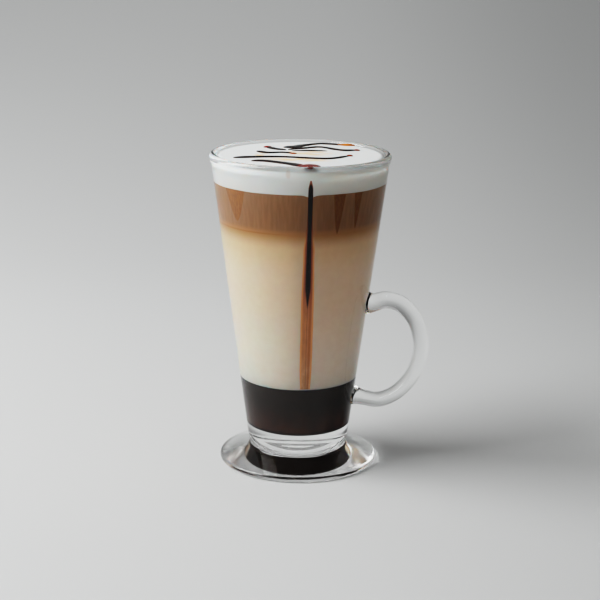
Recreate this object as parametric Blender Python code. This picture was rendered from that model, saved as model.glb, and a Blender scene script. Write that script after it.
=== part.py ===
"""Caffe mocha in its footed glass mug: chocolate syrup, milk, coffee and milk foam, one above the other.

Lengths are in metres and +Z is up. The origin is the middle of the foot's flat underside, and the
handle points along +X. Neighbouring pieces keep a small gap, so that each one is a solid of its own.
"""

import math

import bmesh
import bpy
from mathutils import Matrix, Vector

MM = 0.001
GAP = 0.3 * MM
SEGMENTS = 64
SMOOTH_BELOW = math.radians(35.0)

# Glass: the foot, whose top slopes up to the waist
FOOT_RADIUS = 35.3 * MM
FOOT_EDGE = 2.7 * MM
FOOT_EDGE_STEPS = 6
FOOT_SLOPE = math.radians(18.0)
WAIST_FILLET = 1.5 * MM
WAIST_STEPS = 4

# Glass: the body is a cone that stands on a rounded bottom
BODY_START = 12.5 * MM
BODY_START_RADIUS = 22.71 * MM
BODY_FLARE = 0.1315
BODY_BOTTOM_ROUND = 14.5 * MM
BODY_BOTTOM_STEPS = 6

# Glass: the thick lip
HEIGHT = 140.0 * MM
RIM_RADIUS = 39.7 * MM
LIP_ROUND = 1.6 * MM
LIP_DROP = 4.6 * MM
LIP_SWELL_STEPS = 4
LIP_ROUND_STEPS = 7

# Glass: the cavity
CAVITY_FLOOR = 16.8 * MM
CAVITY_CORNER = 3.0 * MM
CAVITY_CORNER_STEPS = 5
WALL = 2.85 * MM

# Handle: the middle line from the upper root to the lower one, as distance from the axis and height
HANDLE_LINE = (
    (29.6, 73.7),
    (33.4, 73.9),
    (39.0, 75.3),
    (46.0, 73.3),
    (52.4, 66.0),
    (54.9, 54.5),
    (52.2, 42.8),
    (45.6, 33.8),
    (37.6, 29.2),
    (30.2, 29.4),
    (23.7, 30.8),
)
HANDLE_UPPER_HALF = 3.9 * MM
HANDLE_LOWER_HALF = 3.3 * MM
HANDLE_HALF_WIDTH = 4.5 * MM
HANDLE_THINNING = 1.8
ROOT_FLARE = 1.9 * MM
ROOT_LENGTH = 2.6 * MM
HANDLE_STEPS = 4
HANDLE_SIDES = 14

# Drink: the height of each surface
SYRUP_TOP = 39.2 * MM
MILK_TOP = 110.0 * MM
COFFEE_TOP = 127.2 * MM
FOAM_EDGE = 139.0 * MM
FOAM_DOME = 0.3 * MM
FOAM_STEPS = 5

# Sauce that ran down inside the wall: height above the foot and half the width there
STREAK_TURN = math.radians(-75.0)
STREAK_WIDTHS = (
    (39.9, 2.0),
    (45.0, 2.4),
    (55.0, 2.6),
    (85.0, 2.6),
    (104.0, 2.2),
    (110.0, 1.7),
    (114.0, 1.2),
    (131.0, 0.95),
    (134.0, 0.3),
)
STREAK_DEPTH = 1.0 * MM
STREAK_SHOULDER = 0.4
STREAK_BACK = 0.65
STREAK_STEP = 6.0 * MM
STREAK_INSET = 0.1 * MM
GROOVE_REACH = 1.0 * MM

# Sauce on the foam: each stroke's middle line seen from above, with half its width in millimetres
STROKES = (
    ((-27.0, -15.0, 1.6), (-17.0, -12.0, 1.2), (-6.5, -10.5, 0.8), (13.0, -11.0, 0.9), (21.5, -1.5, 0.7)),
    ((-18.0, -22.0, 0.7), (-12.0, -21.5, 1.2), (-1.0, -26.5, 1.4), (6.0, -31.0, 2.2)),
    ((-20.0, 3.5, 1.0), (-14.5, -0.5, 1.3), (-8.0, 1.0, 0.9), (-3.0, -0.5, 0.9)),
    ((-17.0, 15.5, 1.5), (-12.5, 10.5, 1.3), (-7.5, 8.5, 0.8)),
    ((-7.0, 17.0, 1.9), (-2.5, 24.0, 1.2), (5.0, 30.0, 0.8), (11.0, 28.5, 0.8), (16.5, 28.5, 1.2)),
    ((-7.0, 9.5, 0.7), (-1.0, 14.5, 0.9), (6.0, 19.5, 0.9), (16.5, 13.0, 1.4), (23.5, 15.0, 0.5)),
    ((-5.0, 6.5, 0.6), (10.5, 9.5, 0.5)),
)
STROKE_RISE = 0.55 * MM
STROKE_SINK = 0.5 * MM
STROKE_BOTTOM = 0.7
STROKE_TOP = 0.55
STROKE_EDGE = 0.1
TIP_WIDTH = 0.3
TIP_RISE = 0.4
TIP_STEPS = 2
STROKE_STEPS = 5

# Drops where the sauce pooled: place on the foam, half length along X and half length along Y
DROPS = (
    (8.4, -31.0, 4.1, 4.4),
    (-6.5, 17.3, 3.2, 2.3),
    (16.8, 28.8, 2.7, 1.5),
    (-16.6, 15.0, 2.0, 1.7),
)
DROP_RISE = 0.75 * MM
DROP_SIDES = 14
DROP_RINGS = 7

# Colours of the materials
GLASS_COLOUR = (0.92, 0.94, 0.94)
SYRUP_COLOUR = (0.020, 0.012, 0.009)
MILK_COLOUR = (0.72, 0.62, 0.50)
COFFEE_COLOUR = (0.22, 0.11, 0.055)
FOAM_COLOUR = (0.80, 0.79, 0.77)
SAUCE_COLOUR = (0.035, 0.018, 0.013)


def clear_scene():
    for item in list(bpy.data.objects):
        bpy.data.objects.remove(item, do_unlink=True)


def make_material(name, colour, roughness, transmission=0.0):
    material = bpy.data.materials.new(name)
    material.use_nodes = True
    shader = material.node_tree.nodes["Principled BSDF"]
    shader.inputs["Base Color"].default_value = (*colour, 1.0)
    shader.inputs["Roughness"].default_value = roughness
    shader.inputs["Metallic"].default_value = 0.0
    shader.inputs["Transmission Weight"].default_value = transmission
    material.diffuse_color = (*colour, 1.0)
    return material


def make_object(name, mesh, material=None):
    thing = bpy.data.objects.new(name, mesh)
    bpy.context.scene.collection.objects.link(thing)
    if material:
        mesh.materials.append(material)
    return thing


def finish_mesh(shape, name):
    """Turns a bmesh into a mesh with its faces pointing out."""
    bmesh.ops.recalc_face_normals(shape, faces=shape.faces)
    mesh = bpy.data.meshes.new(name)
    shape.to_mesh(mesh)
    shape.free()
    mesh.shade_smooth()
    mesh.set_sharp_from_angle(angle=SMOOTH_BELOW)
    return mesh


def arc(centre, radius, start, end, steps):
    """Points (distance from the axis, height) on a circle, from one angle to another in degrees."""
    points = []
    for step in range(steps + 1):
        angle = math.radians(start + (end - start) * step / steps)
        points.append((centre[0] + radius * math.cos(angle), centre[1] + radius * math.sin(angle)))
    return points


def turned(name, outline, material):
    """A solid turned about Z from a half section that starts and ends on the axis."""
    shape = bmesh.new()
    rings = []
    for radius, height in outline:
        if radius == 0.0:
            rings.append([shape.verts.new((0.0, 0.0, height))])
            continue
        turns = [2.0 * math.pi * index / SEGMENTS for index in range(SEGMENTS)]
        rings.append([shape.verts.new((radius * math.cos(t), radius * math.sin(t), height)) for t in turns])
    for low, high in zip(rings, rings[1:]):
        for index in range(SEGMENTS):
            after = (index + 1) % SEGMENTS
            if len(low) == 1:
                shape.faces.new((low[0], high[after], high[index]))
            elif len(high) == 1:
                shape.faces.new((low[index], low[after], high[0]))
            else:
                shape.faces.new((low[index], low[after], high[after], high[index]))
    return make_object(name, finish_mesh(shape, name), material)


def lofted(name, sections, material=None):
    """A solid skinned over closed sections of equally many points, with flat ends."""
    shape = bmesh.new()
    rings = [[shape.verts.new(point) for point in section] for section in sections]
    count = len(rings[0])
    for low, high in zip(rings, rings[1:]):
        for index in range(count):
            after = (index + 1) % count
            shape.faces.new((low[index], low[after], high[after], high[index]))
    shape.faces.new(rings[0][::-1])
    shape.faces.new(rings[-1])
    bmesh.ops.triangulate(shape, faces=[face for face in shape.faces if len(face.verts) > 4])
    return make_object(name, finish_mesh(shape, name), material)


def smooth_line(points, steps):
    """Points on a Catmull-Rom curve through the given points, which it starts and ends on."""
    vectors = [Vector(point) for point in points]
    vectors = [2 * vectors[0] - vectors[1], *vectors, 2 * vectors[-1] - vectors[-2]]
    line = []
    for before, start, end, after in zip(vectors, vectors[1:], vectors[2:], vectors[3:]):
        for step in range(steps):
            t = step / steps
            bend = (2 * before - 5 * start + 4 * end - after) * t * t
            turn = (3 * start - before - 3 * end + after) * t * t * t
            line.append((2 * start + (end - before) * t + bend + turn) / 2)
    line.append(vectors[-2])
    return line


def blend(value, table):
    """Reads a table of (place, amount) pairs at a place between them."""
    for (low, first), (high, second) in zip(table, table[1:]):
        if value <= high:
            share = max(0.0, (value - low) / (high - low))
            return first + (second - first) * share
    return table[-1][1]


def body_radius(height):
    """The body's outside, where it is a plain cone."""
    return BODY_START_RADIUS + BODY_FLARE * (height - BODY_START)


def cavity_radius(height):
    return body_radius(height) - WALL


def cavity_corner_centre():
    height = CAVITY_FLOOR + CAVITY_CORNER
    return cavity_radius(height) - CAVITY_CORNER * math.hypot(1.0, BODY_FLARE), height


def cavity_corner(inset):
    """The rounded corner between the cavity's wall and its floor, moved inwards by an inset."""
    wall_angle = -math.degrees(math.atan(BODY_FLARE))
    return arc(cavity_corner_centre(), CAVITY_CORNER - inset, wall_angle, -90.0, CAVITY_CORNER_STEPS)


def foot_outline():
    """The foot's flat underside and its rounded edge, up to the start of the slope."""
    edge_round = FOOT_EDGE / 2
    centre = (FOOT_RADIUS - edge_round, edge_round)
    return [(0.0, 0.0)] + arc(centre, edge_round, -90.0, 90.0 - math.degrees(FOOT_SLOPE), FOOT_EDGE_STEPS)


def body_bottom_outline():
    """The fillet at the waist and the rounded bottom that runs up into the cone."""
    wall_angle = -math.atan(BODY_FLARE)
    round_centre = Vector((
        BODY_START_RADIUS - BODY_BOTTOM_ROUND * math.cos(wall_angle),
        BODY_START - BODY_BOTTOM_ROUND * math.sin(wall_angle),
    ))
    slope_start = Vector(foot_outline()[-1])
    inward = Vector((-math.cos(FOOT_SLOPE), math.sin(FOOT_SLOPE)))
    upright = Vector((math.sin(FOOT_SLOPE), math.cos(FOOT_SLOPE)))
    apart = slope_start + upright * WAIST_FILLET - round_centre
    along = apart.dot(inward)
    reach = BODY_BOTTOM_ROUND + WAIST_FILLET
    travel = -along - math.sqrt(along**2 - apart.length_squared + reach**2)
    fillet_centre = slope_start + upright * WAIST_FILLET + inward * travel
    drop = fillet_centre - round_centre
    meeting = math.degrees(math.atan2(drop.y, drop.x))
    slope_angle = 270.0 - math.degrees(FOOT_SLOPE)
    fillet = arc(fillet_centre, WAIST_FILLET, slope_angle, 180.0 + meeting, WAIST_STEPS)
    bottom = arc(round_centre, BODY_BOTTOM_ROUND, meeting, math.degrees(wall_angle), BODY_BOTTOM_STEPS)
    return fillet + bottom[1:]


def lip_outline():
    """The bead that swells out of the body, over its top and down to the cavity."""
    middle = HEIGHT - LIP_ROUND
    swell_start = middle - LIP_DROP
    start_radius = body_radius(swell_start)
    swell = []
    for step in range(LIP_SWELL_STEPS):
        share = step / LIP_SWELL_STEPS
        ease = math.sin(share * math.pi / 2) ** 2
        swell.append((start_radius + (RIM_RADIUS - start_radius) * ease, swell_start + LIP_DROP * share))
    return swell + arc((RIM_RADIUS - LIP_ROUND, middle), LIP_ROUND, 0.0, 180.0, LIP_ROUND_STEPS)


def glass_outline():
    inside = cavity_corner(0.0) + [(0.0, CAVITY_FLOOR)]
    return foot_outline() + body_bottom_outline() + lip_outline() + inside


def handle_sections():
    """Oval sections along the handle, thick at the top, thinner below and flared at both roots."""
    points = [(x * MM, 0.0, z * MM) for x, z in HANDLE_LINE]
    line = smooth_line(points, HANDLE_STEPS)
    travelled = [0.0]
    for before, after in zip(line, line[1:]):
        travelled.append(travelled[-1] + (after - before).length)
    total = travelled[-1]
    sections = []
    for index, middle in enumerate(line):
        before = line[max(index - 1, 0)]
        after = line[min(index + 1, len(line) - 1)]
        along = (after - before).normalized()
        outward = along.cross(Vector((0.0, 1.0, 0.0)))
        thinning = min(1.0, HANDLE_THINNING * travelled[index] / total)
        to_root = min(travelled[index], total - travelled[index])
        flare = ROOT_FLARE * math.exp(-((to_root / ROOT_LENGTH) ** 2))
        half = HANDLE_UPPER_HALF + (HANDLE_LOWER_HALF - HANDLE_UPPER_HALF) * thinning + flare
        width = HANDLE_HALF_WIDTH + flare / 2
        section = []
        for side in range(HANDLE_SIDES):
            angle = 2.0 * math.pi * side / HANDLE_SIDES
            across = Vector((0.0, width * math.sin(angle), 0.0))
            section.append(middle + outward * (half * math.cos(angle)) + across)
        sections.append(section)
    return sections


def add_boolean(thing, other, operation):
    modifier = thing.modifiers.new(operation.title(), "BOOLEAN")
    modifier.operation = operation
    modifier.solver = "EXACT"
    modifier.object = other
    other.hide_render = True
    other.display_type = "WIRE"


def make_glass(material):
    glass = turned("glass_mug", glass_outline(), material)
    handle = lofted("handle_shape", handle_sections())
    add_boolean(glass, handle, "UNION")
    return glass


def layer_outline(low, high):
    return [(0.0, low), (cavity_radius(low) - GAP, low), (cavity_radius(high) - GAP, high), (0.0, high)]


def make_syrup(material):
    corner = cavity_corner(GAP)
    outline = [(0.0, SYRUP_TOP - GAP), (cavity_radius(SYRUP_TOP) - GAP, SYRUP_TOP - GAP)]
    return turned("chocolate_syrup", outline + corner + [(0.0, CAVITY_FLOOR + GAP)], material)


def foam_outline():
    edge = cavity_radius(FOAM_EDGE) - GAP
    outline = [(0.0, COFFEE_TOP), (cavity_radius(COFFEE_TOP) - GAP, COFFEE_TOP)]
    for step in range(FOAM_STEPS):
        radius = edge * (1.0 - step / FOAM_STEPS)
        outline.append((radius, foam_height(radius)))
    return outline + [(0.0, foam_height(0.0))]


def foam_height(radius):
    """The foam's top, which is a shallow dome."""
    share = radius / cavity_radius(FOAM_EDGE)
    return FOAM_EDGE + FOAM_DOME * (1.0 - share**2)


def stroke_sections(stroke):
    """Lens sections along one stroke of sauce, whose ends come to small tips."""
    line = smooth_line(stroke, STROKE_STEPS)
    sections = []
    for index, point in enumerate(line):
        before = line[max(index - 1, 0)]
        after = line[min(index + 1, len(line) - 1)]
        along = Vector((after.x - before.x, after.y - before.y, 0.0)).normalized()
        across = Vector((-along.y, along.x, 0.0))
        tip = min(index, len(line) - 1 - index, TIP_STEPS) / TIP_STEPS
        half = point.z * MM * (TIP_WIDTH + (1.0 - TIP_WIDTH) * tip)
        rise = STROKE_RISE * (TIP_RISE + (1.0 - TIP_RISE) * tip)
        middle = Vector((point.x * MM, point.y * MM, 0.0))
        level = foam_height(middle.length)
        right = [(STROKE_BOTTOM, -STROKE_SINK), (1.0, STROKE_EDGE * rise), (STROKE_TOP, rise)]
        left = [(-side, height) for side, height in reversed(right)]
        section = []
        for side, height in right + left:
            section.append(middle + across * (half * side) + Vector((0.0, 0.0, level + height)))
        sections.append(section)
    return sections


def make_drop(name, drop):
    """A flattened ball of sauce, sunk by half in the foam."""
    x, y, half_x, half_y = (value * MM for value in drop)
    shape = bmesh.new()
    bmesh.ops.create_uvsphere(shape, u_segments=DROP_SIDES, v_segments=DROP_RINGS, radius=1.0)
    place = Matrix.Translation((x, y, foam_height(math.hypot(x, y))))
    size = Matrix.Diagonal((half_x, half_y, DROP_RISE, 1.0))
    bmesh.ops.transform(shape, matrix=place @ size, verts=shape.verts)
    return make_object(name, finish_mesh(shape, name))


def join_into(thing, others):
    """Joins the others to a thing by one Boolean, applies it and removes them."""
    group = bpy.data.collections.new("sauce_shapes")
    for other in others:
        group.objects.link(other)
    modifier = thing.modifiers.new("Join", "BOOLEAN")
    modifier.operation = "UNION"
    modifier.solver = "MANIFOLD"
    modifier.operand_type = "COLLECTION"
    modifier.collection = group
    graph = bpy.context.evaluated_depsgraph_get()
    joined = bpy.data.meshes.new_from_object(thing.evaluated_get(graph), depsgraph=graph)
    thing.modifiers.clear()
    thing.data = joined
    for other in others:
        bpy.data.objects.remove(other, do_unlink=True)
    bpy.data.collections.remove(group)


def make_foam(material):
    foam = turned("milk_foam", foam_outline(), material)
    sauce = [lofted(f"stroke_{index}", stroke_sections(stroke)) for index, stroke in enumerate(STROKES)]
    sauce += [make_drop(f"drop_{index}", drop) for index, drop in enumerate(DROPS)]
    join_into(foam, sauce)
    return foam


def streak_sections(margin, outside):
    """Sections of the streak, wider and deeper by a margin, and past the drink's side by an amount."""
    low, high = STREAK_WIDTHS[0][0] * MM, STREAK_WIDTHS[-1][0] * MM
    steps = round((high - low) / STREAK_STEP)
    across = Vector((-math.sin(STREAK_TURN), math.cos(STREAK_TURN), 0.0))
    outward = Vector((math.cos(STREAK_TURN), math.sin(STREAK_TURN), 0.0))
    sections = []
    for step in range(steps + 1):
        height = low + (high - low) * step / steps
        half = blend(height / MM, STREAK_WIDTHS) * MM + margin
        depth = STREAK_DEPTH * min(1.0, half / MM) + margin
        wall = cavity_radius(height) - GAP
        if step == 0:
            height -= margin
        elif step == steps:
            height += margin
        shoulder = STREAK_SHOULDER * depth
        face = [(side, -outside) for side in (-1.0, 0.0, 1.0)]
        back = [(1.0, shoulder), (STREAK_BACK, depth), (-STREAK_BACK, depth), (-1.0, shoulder)]
        section = []
        for side, inward in face + back:
            reach = math.sqrt((wall - inward) ** 2 - (half * side) ** 2)
            section.append(outward * reach + across * (half * side) + Vector((0.0, 0.0, height)))
        sections.append(section)
    return sections


def make_streak(material, layers):
    """The streak, and the groove that holds it in each layer."""
    groove = lofted("streak_groove", streak_sections(GAP, GROOVE_REACH))
    for layer in layers:
        add_boolean(layer, groove, "DIFFERENCE")
    return lofted("sauce_streak", streak_sections(0.0, -STREAK_INSET), material)


def main():
    clear_scene()
    make_glass(make_material("clear_glass", GLASS_COLOUR, roughness=0.02, transmission=1.0))
    make_syrup(make_material("chocolate_syrup", SYRUP_COLOUR, roughness=0.25))
    cream = make_material("milk", MILK_COLOUR, roughness=0.45)
    brown = make_material("coffee", COFFEE_COLOUR, roughness=0.40)
    white = make_material("milk_foam", FOAM_COLOUR, roughness=0.60)
    milk = turned("milk", layer_outline(SYRUP_TOP, MILK_TOP - GAP), cream)
    coffee = turned("coffee", layer_outline(MILK_TOP, COFFEE_TOP - GAP), brown)
    foam = make_foam(white)
    make_streak(make_material("chocolate_sauce", SAUCE_COLOUR, roughness=0.20), (milk, coffee, foam))


main()
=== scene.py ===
"""Dresses a caffe mocha in its footed glass mug: clear glass, four layers of drink and chocolate sauce.

Lengths are in metres and +Z is up. The origin is the middle of the foot's underside, and the handle
points along +X. The layers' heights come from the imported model.
"""

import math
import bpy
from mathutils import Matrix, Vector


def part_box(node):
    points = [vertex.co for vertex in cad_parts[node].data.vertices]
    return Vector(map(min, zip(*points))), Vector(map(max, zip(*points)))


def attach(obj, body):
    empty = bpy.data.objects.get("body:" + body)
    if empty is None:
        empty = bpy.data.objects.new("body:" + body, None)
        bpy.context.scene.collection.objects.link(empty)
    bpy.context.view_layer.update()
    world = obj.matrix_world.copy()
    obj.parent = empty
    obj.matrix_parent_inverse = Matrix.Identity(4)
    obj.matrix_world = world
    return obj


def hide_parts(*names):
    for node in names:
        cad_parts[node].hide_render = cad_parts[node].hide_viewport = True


bl_info = {
    "name": "Caffe mocha",
    "version": (1, 0, 0),
    "blender": (4, 5, 0),
    "location": "View3D > Sidebar > Caffe mocha",
    "description": "Makes a layered caffe mocha in a footed glass mug, with its floor, light and camera",
    "category": "Add Mesh",
}

import bmesh
import bpy
import numpy as np
from bpy.props import FloatProperty, FloatVectorProperty, IntProperty, PointerProperty
from mathutils import Matrix, Vector, noise

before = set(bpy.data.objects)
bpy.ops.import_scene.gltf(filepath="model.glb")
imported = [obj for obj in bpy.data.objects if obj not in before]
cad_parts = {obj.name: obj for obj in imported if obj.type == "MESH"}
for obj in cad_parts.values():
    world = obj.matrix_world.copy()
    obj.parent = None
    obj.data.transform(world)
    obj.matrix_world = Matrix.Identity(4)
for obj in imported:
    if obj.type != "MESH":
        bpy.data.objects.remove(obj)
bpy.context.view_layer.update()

MM = 0.001

_, MUG_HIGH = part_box("glass_mug")
SYRUP_LOW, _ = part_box("chocolate_syrup")
MILK_LOW, MILK_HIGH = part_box("milk")
COFFEE_LOW, COFFEE_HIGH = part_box("coffee")
FOAM_LOW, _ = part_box("milk_foam")
STREAK_LOW, STREAK_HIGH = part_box("sauce_streak")

# The gap that the model leaves between two layers, and how near two heights count as one
GAP = COFFEE_LOW.z - MILK_HIGH.z
CLOSE = 0.01 * MM

# Edges sharper than this stay sharp
SHARP_ANGLE = math.radians(40.0)

# Tone curve: the brightest light it takes, the light that it shows at one half, and how steep it is
TONE_WHITE = 6.0
TONE_MIDDLE = 0.44
TONE_POWER = 1.6

# Key light: its width for each metre of its distance, its angle above the floor and round to the left
KEY_WIDTH = 0.815
KEY_RISE = math.radians(37.0)
KEY_SIDE = math.radians(82.0)

# Light from all round: what is left of it at the horizon, and the heights between which it comes back
HORIZON_SHARE = 0.25
HORIZON_RANGE = (0.05, 0.4)

# Camera: its turn round the mug, how far it stands aside, and the nearest and furthest that it sees
CAMERA_TURN = math.radians(8.0)
CAMERA_ASIDE = 0.42 * MM
CAMERA_NEAREST = 0.01
CAMERA_FURTHEST = 20.0

# Floor: wide paper that curves up behind the mug, in metres, and how far the curve turns, in degrees
SWEEP_HALF = 4.0
SWEEP_FRONT = 4.0
SWEEP_START = 0.35
SWEEP_ROUND = 1.2
SWEEP_TURN = 50.0
SWEEP_DROP = 0.05 * MM

# Glass: the foot, whose top slopes up to the waist
FOOT_RADIUS = 35.3 * MM
FOOT_EDGE = 2.7 * MM
FOOT_SLOPE = math.radians(18.0)
WAIST_FILLET = 1.5 * MM

# Glass: the body is a cone that stands on a rounded bottom
BODY_START = 12.5 * MM
BODY_START_RADIUS = 22.71 * MM
BODY_FLARE = 0.1315
BODY_BOTTOM_ROUND = 14.5 * MM

# Glass: the lip and the cavity
LIP_ROUND = 1.6 * MM
LIP_DROP = 4.6 * MM
CAVITY_FLOOR = SYRUP_LOW.z - GAP
CAVITY_CORNER = 3.0 * MM

# Glass: where the underside, the slope and the cavity's floor have rings of points, as shares of each
UNDERSIDE_RINGS = (0.0, 0.3, 0.6, 0.85, 0.96, 0.99)
SLOPE_RINGS = (0.02, 0.1, 0.4, 0.7, 0.9, 0.98)
CAVITY_FLOOR_RINGS = (0.66, 0.33, 0.0)

# Handle: the middle line from the upper root to the lower one, as distance from the axis and height in
# millimetres
HANDLE_LINE = (
    (29.6, 73.7),
    (33.4, 73.9),
    (39.0, 75.3),
    (46.0, 73.3),
    (52.4, 66.0),
    (54.9, 54.5),
    (52.2, 42.8),
    (45.6, 33.8),
    (37.6, 29.2),
    (30.2, 29.4),
    (23.7, 30.8),
)
HANDLE_UPPER_HALF = 3.88 * MM
HANDLE_LOWER_HALF = 3.28 * MM
HANDLE_HALF_WIDTH = 4.5 * MM
HANDLE_THINNING = 1.8
HANDLE_STEPS = 16
HANDLE_SIDES = 48
ROOT_FLARE = 1.4 * MM
ROOT_LENGTH = 3.2 * MM

# Sauce that ran down inside the wall: height above the floor and half the width there, in millimetres
STREAK_TURN = math.radians(-75.0)
STREAK_WIDTHS = (
    (39.9, 2.0),
    (45.0, 2.4),
    (55.0, 2.6),
    (85.0, 2.6),
    (104.0, 2.2),
    (110.0, 1.7),
    (114.0, 1.2),
    (131.0, 0.95),
    (134.0, 0.3),
)
STREAK_DEPTH = 1.0 * MM
STREAK_REACH = 0.07 * MM
STREAK_STEPS = 160
STREAK_SIDES = 32
STREAK_WAVER = 0.08
STREAK_WAVER_SCALE = 120.0

# The streak's nearly black core: height above the floor and half the width there, in millimetres
STREAK_CORE = (
    (77.0, 0.0),
    (79.5, 0.35),
    (83.5, 0.75),
    (86.0, 1.1),
    (93.0, 1.12),
    (104.0, 0.98),
    (112.0, 0.88),
    (126.0, 1.05),
    (130.0, 0.95),
    (132.0, 0.5),
    (133.0, 0.0),
)
STREAK_CORE_BLUR = 0.35 * MM

# Sauce on the foam: each stroke's middle line seen from above with half its width, in millimetres
STROKES = (
    ((-27.0, -15.0, 2.2), (-17.0, -12.0, 1.7), (-6.5, -10.5, 1.0), (13.0, -11.0, 1.2), (21.5, -1.5, 0.9)),
    ((-18.0, -22.0, 0.9), (-12.0, -21.5, 1.8), (-1.0, -26.5, 2.2), (6.0, -31.0, 3.2)),
    ((-20.0, 3.5, 1.3), (-14.5, -0.5, 1.8), (-8.0, 1.0, 1.1), (-3.0, -0.5, 1.2)),
    ((-17.0, 15.5, 1.9), (-12.5, 10.5, 1.7), (-7.5, 8.5, 1.0)),
    ((-10.0, 16.0, 2.2), (-5.5, 18.0, 3.2), (-2.5, 23.0, 2.0), (5.0, 30.0, 1.1), (16.5, 28.5, 1.5)),
    ((-7.0, 9.5, 0.9), (-1.0, 14.5, 1.2), (6.0, 19.5, 1.1), (16.5, 13.0, 1.7), (23.5, 15.0, 0.6)),
    ((-5.0, 6.5, 0.8), (10.5, 9.5, 0.6)),
)
STROKE_RISE = 0.55 * MM
STROKE_SINK = 0.45 * MM
STROKE_STEPS = 14
STROKE_SIDES = 14

# Strokes: how far their width wavers, and the width and height of their tips against the rest
STROKE_WAVER = 0.16
STROKE_WAVER_SCALE = 0.35
STROKE_TIP_STEPS = 6
STROKE_TIP_WIDTH = 0.25
STROKE_TIP_RISE = 0.35

# Drops where the sauce pooled: place on the foam and how far it sank, half lengths, all in millimetres,
# and how orange the drop is
DROPS = (
    ((8.4, -31.0, 0.0), (4.5, 4.4, 0.8), 0.0),
    ((7.0, -33.9, 0.4), (4.6, 1.9, 0.75), 0.0),
    ((0.3, -34.3, 0.2), (2.4, 0.8, 0.5), 0.5),
    ((17.2, 28.8, 0.0), (3.5, 2.0, 0.8), 1.0),
    ((-16.9, 15.2, 0.0), (2.1, 1.7, 0.65), 0.0),
    ((-3.0, -0.9, 0.0), (1.5, 1.0, 0.55), 0.3),
    ((21.7, -1.2, 0.0), (1.4, 0.9, 0.6), 0.2),
    ((23.0, 14.6, 0.0), (1.5, 0.9, 0.6), 0.2),
)

# How far round a drop its colour reaches and over what it fades, in half lengths of the drop
DROP_TINT_REACH = 1.35
DROP_TINT_FADE = 0.5

# The grid that melts the strokes and the drops together
SAUCE_VOXEL = 0.16 * MM

# Foam: its top is a shallow, slightly uneven dome with a rounded shoulder
FOAM_EDGE = 139.0 * MM
FOAM_DOME = 0.3 * MM
FOAM_SHOULDER = 1.8 * MM
FOAM_UNEVEN = 0.10 * MM
FOAM_UNEVEN_SCALE = 90.0

# Line between coffee and foam: how much higher than in the model it shows, its waver, and its dip at
# the streak, whose turn is in radians
LINE_RISE = 0.5 * MM
LINE_WAVER = 0.12 * MM
LINE_WAVER_SCALE = 3.0
LINE_DIP = 0.95 * MM
LINE_DIP_TURN = 0.062
LINE_RING_SHARE = 0.9

# The side that the camera has on its right, away from the key light, where the drinks get painted warm
# shade
PAINTED_SHADE_SIDE = Vector((math.cos(CAMERA_TURN), math.sin(CAMERA_TURN), 0.0))

# Sockets of the Mix node that hold its two colours and its result, and the tone curve for all colours
MIX_FIRST = 6
MIX_SECOND = 7
MIX_RESULT = 2
COMBINED_CURVE = 3


class MugSettings(bpy.types.PropertyGroup):
    """The glass mug."""

    wall: FloatProperty(
        name="Wall", description="Thickness of the body's wall", default=2.85 * MM, unit="LENGTH"
    )
    turns: IntProperty(name="Turns", description="Sides of the turned body", default=256, min=32)
    colour: FloatVectorProperty(
        name="Glass colour",
        description="What the glass lets through",
        default=(0.985, 0.99, 0.987),
        subtype="COLOR",
    )
    bend: FloatProperty(
        name="Refraction", description="Refractive index of the glass", default=1.5, min=1.0
    )


class DrinkSettings(bpy.types.PropertyGroup):
    """The layers of the drink."""

    reach: FloatProperty(
        name="Reach",
        description="How far each layer reaches into the wall",
        default=0.15 * MM,
        unit="LENGTH",
    )
    syrup: FloatVectorProperty(
        name="Syrup", description="Chocolate syrup", default=(0.032, 0.024, 0.021), subtype="COLOR"
    )
    milk: FloatVectorProperty(
        name="Milk", description="Milk low down", default=(0.80, 0.775, 0.69), subtype="COLOR"
    )
    latte: FloatVectorProperty(
        name="Tinted milk",
        description="Milk that coffee has tinted",
        default=(0.80, 0.71, 0.565),
        subtype="COLOR",
    )
    coffee: FloatVectorProperty(
        name="Coffee", description="Coffee layer", default=(0.42, 0.236, 0.118), subtype="COLOR"
    )
    foam: FloatVectorProperty(
        name="Foam", description="Milk foam", default=(0.84, 0.87, 0.865), subtype="COLOR"
    )


class SauceSettings(bpy.types.PropertyGroup):
    """The chocolate sauce on the foam and down the wall."""

    dark: FloatVectorProperty(
        name="Thick sauce",
        description="Where the sauce is thick",
        default=(0.013, 0.010, 0.010),
        subtype="COLOR",
    )
    warm: FloatVectorProperty(
        name="Thin sauce",
        description="Where the sauce is thin",
        default=(0.60, 0.27, 0.12),
        subtype="COLOR",
    )
    red: FloatVectorProperty(
        name="Red sauce",
        description="Where light shines through a drop",
        default=(0.19, 0.012, 0.005),
        subtype="COLOR",
    )


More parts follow.
